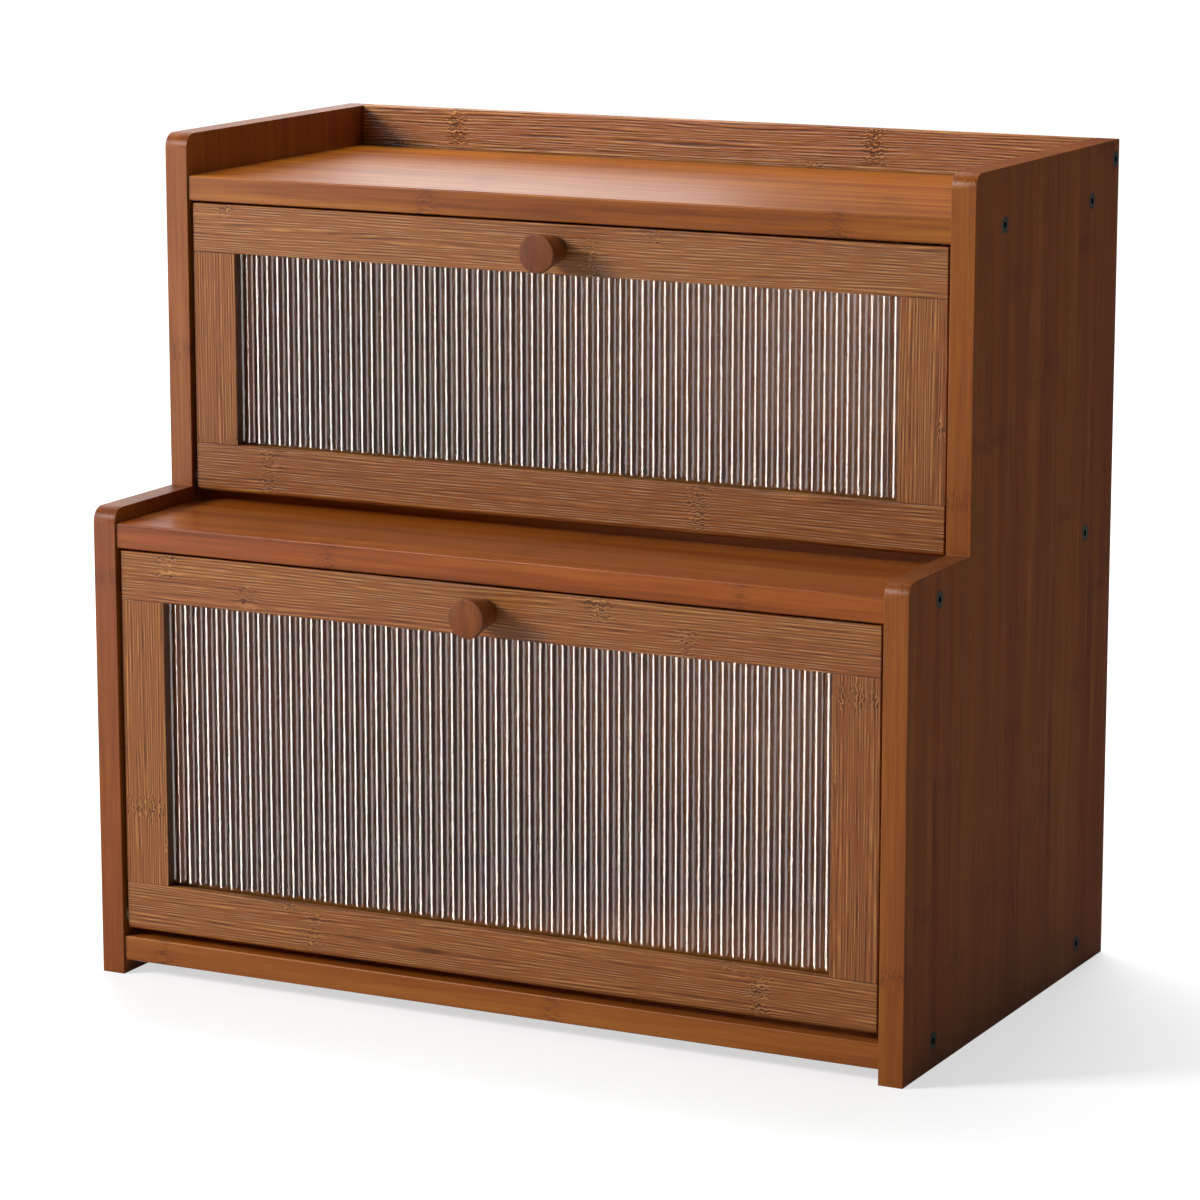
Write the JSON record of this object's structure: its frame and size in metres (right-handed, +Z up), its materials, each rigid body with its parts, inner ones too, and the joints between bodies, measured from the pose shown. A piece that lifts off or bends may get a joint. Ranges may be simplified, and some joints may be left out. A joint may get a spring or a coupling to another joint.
{
  "type": "bread box",
  "caption": "Two-tier bamboo bread box, stepped case with a top tray, ledge and drop-front doors with reeded glass panes and round knobs.",
  "frame": {"origin": "on the floor plane, under the middle of the whole box with its knobs", "axes": "+X to the right seen from the front, +Y to the back, +Z up; the doors face -Y"},
  "size_m": [0.42, 0.2676, 0.4],
  "materials": {
    "bamboo_case": "satin stained",
    "bamboo_frame": "brushed, stained",
    "bamboo_knob": "satin stained",
    "bamboo_back": "matt stained",
    "beech": "plain",
    "reeded_glass": "clear, ribbed front",
    "black_oxide_steel": "black oxide",
    "zinc_steel": "zinc plated",
    "nylon": "moulded",
    "catch_plastic": "moulded brown",
    "ferrite": "sintered"
  },
  "bodies": {
    "cabinet": {"side_panel_left": "bamboo_case", "side_panel_right": "bamboo_case", "top_board": "bamboo_case", "middle_board": "bamboo_case", "bottom_board": "bamboo_case", "back_rail": "bamboo_frame", "back_panel_upper": "bamboo_back", "back_panel_lower": "bamboo_back", "top_board_screws": "black_oxide_steel", "middle_board_screws": "black_oxide_steel", "bottom_board_screws": "black_oxide_steel", "back_rail_screws": "black_oxide_steel", "upper_bush_left": "nylon", "upper_bush_right": "nylon", "lower_bush_left": "nylon", "lower_bush_right": "nylon", "upper_catch_housing": "catch_plastic", "upper_catch_magnet": "ferrite", "upper_catch_poles": "zinc_steel", "upper_catch_screws": "zinc_steel", "lower_catch_housing": "catch_plastic", "lower_catch_magnet": "ferrite", "lower_catch_poles": "zinc_steel", "lower_catch_screws": "zinc_steel"},
    "upper_door": {"upper_door_top_rail": "bamboo_frame", "upper_door_bottom_rail": "bamboo_frame", "upper_door_stile_left": "bamboo_frame", "upper_door_stile_right": "bamboo_frame", "upper_door_dowels": "beech", "upper_door_pane": "reeded_glass", "upper_door_bead_top": "bamboo_case", "upper_door_bead_bottom": "bamboo_case", "upper_door_bead_left": "bamboo_case", "upper_door_bead_right": "bamboo_case", "upper_door_knob": "bamboo_knob", "upper_door_knob_screw": "zinc_steel", "upper_door_strike_plate": "zinc_steel", "upper_door_strike_screw": "zinc_steel", "upper_door_pin_left": "zinc_steel", "upper_door_pin_right": "zinc_steel"},
    "lower_door": {"lower_door_top_rail": "bamboo_frame", "lower_door_bottom_rail": "bamboo_frame", "lower_door_stile_left": "bamboo_frame", "lower_door_stile_right": "bamboo_frame", "lower_door_dowels": "beech", "lower_door_pane": "reeded_glass", "lower_door_bead_top": "bamboo_case", "lower_door_bead_bottom": "bamboo_case", "lower_door_bead_left": "bamboo_case", "lower_door_bead_right": "bamboo_case", "lower_door_knob": "bamboo_knob", "lower_door_knob_screw": "zinc_steel", "lower_door_strike_plate": "zinc_steel", "lower_door_strike_screw": "zinc_steel", "lower_door_pin_left": "zinc_steel", "lower_door_pin_right": "zinc_steel"}
  },
  "joints": [
    {"name": "upper_door_hinge", "type": "hinge", "parent": "cabinet", "child": "upper_door", "pos_m": [0, -0.03825, 0.233], "axis": [1, 0, 0], "range_deg": [0, 91]},
    {"name": "lower_door_hinge", "type": "hinge", "parent": "cabinet", "child": "lower_door", "pos_m": [0, -0.10825, 0.029], "axis": [1, 0, 0], "range_deg": [0, 91]}
  ]
}
